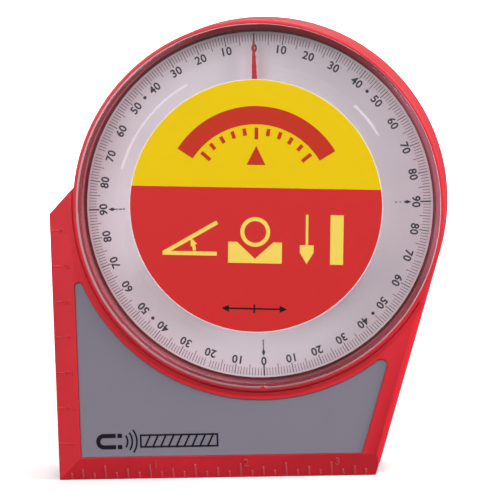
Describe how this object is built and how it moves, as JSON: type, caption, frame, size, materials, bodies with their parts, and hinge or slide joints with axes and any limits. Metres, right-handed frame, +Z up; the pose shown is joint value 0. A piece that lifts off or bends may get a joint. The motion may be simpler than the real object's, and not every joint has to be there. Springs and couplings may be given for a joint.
{
  "type": "inclinometer",
  "caption": "Pendulum angle meter: weighted needle over a round dial under a clear cap, on a flared magnetic base with bevelled rule edges and a V-groove.",
  "frame": {"origin": "middle of the bounding box's bottom, on the plane that the base stands on", "axes": "+X to the right seen from the front, +Y to the back, +Z up; the dial faces -Y"},
  "size_m": [0.1108, 0.0294, 0.1281],
  "materials": {
    "red_plastic": "moulded, satin gloss",
    "cover_plastic": "moulded, fine grain",
    "screw_steel": "zinc plated",
    "clear_plastic": "polished clear plastic",
    "dial_white": "satin, printed",
    "centre_print": "printed label, satin",
    "grey_label": "printed label, satin",
    "brass": "turned",
    "shaft_steel": "ground",
    "needle_red": "painted sheet",
    "cast_weight": "die-cast, plain",
    "rivet_alloy": "plain",
    "magnet_black": "ground ferrite",
    "plate_steel": "zinc plated sheet"
  },
  "bodies": {
    "case": {"housing": "red_plastic", "rear_cover": "cover_plastic", "cover_screws": "screw_steel", "lens": "clear_plastic", "dial_plate": "dial_white", "dial_screws": "screw_steel", "centre_label": "centre_print", "base_label": "grey_label", "front_bush": "brass", "rear_bush": "brass", "magnet_left": "magnet_black", "magnet_right": "magnet_black", "pole_plate_left_front": "plate_steel", "pole_plate_left_back": "plate_steel", "pole_plate_right_front": "plate_steel", "pole_plate_right_back": "plate_steel"},
    "pointer": {"pivot_shaft": "shaft_steel", "needle": "needle_red", "needle_hub": "brass", "retaining_ring": "shaft_steel", "counterweight": "cast_weight", "weight_rivets": "rivet_alloy"}
  },
  "joints": [
    {"name": "pointer_swing", "type": "hinge", "parent": "case", "child": "pointer", "pos_m": [0.00308, -0.007, 0.0758], "axis": [0, 1, 0], "continuous": true}
  ]
}
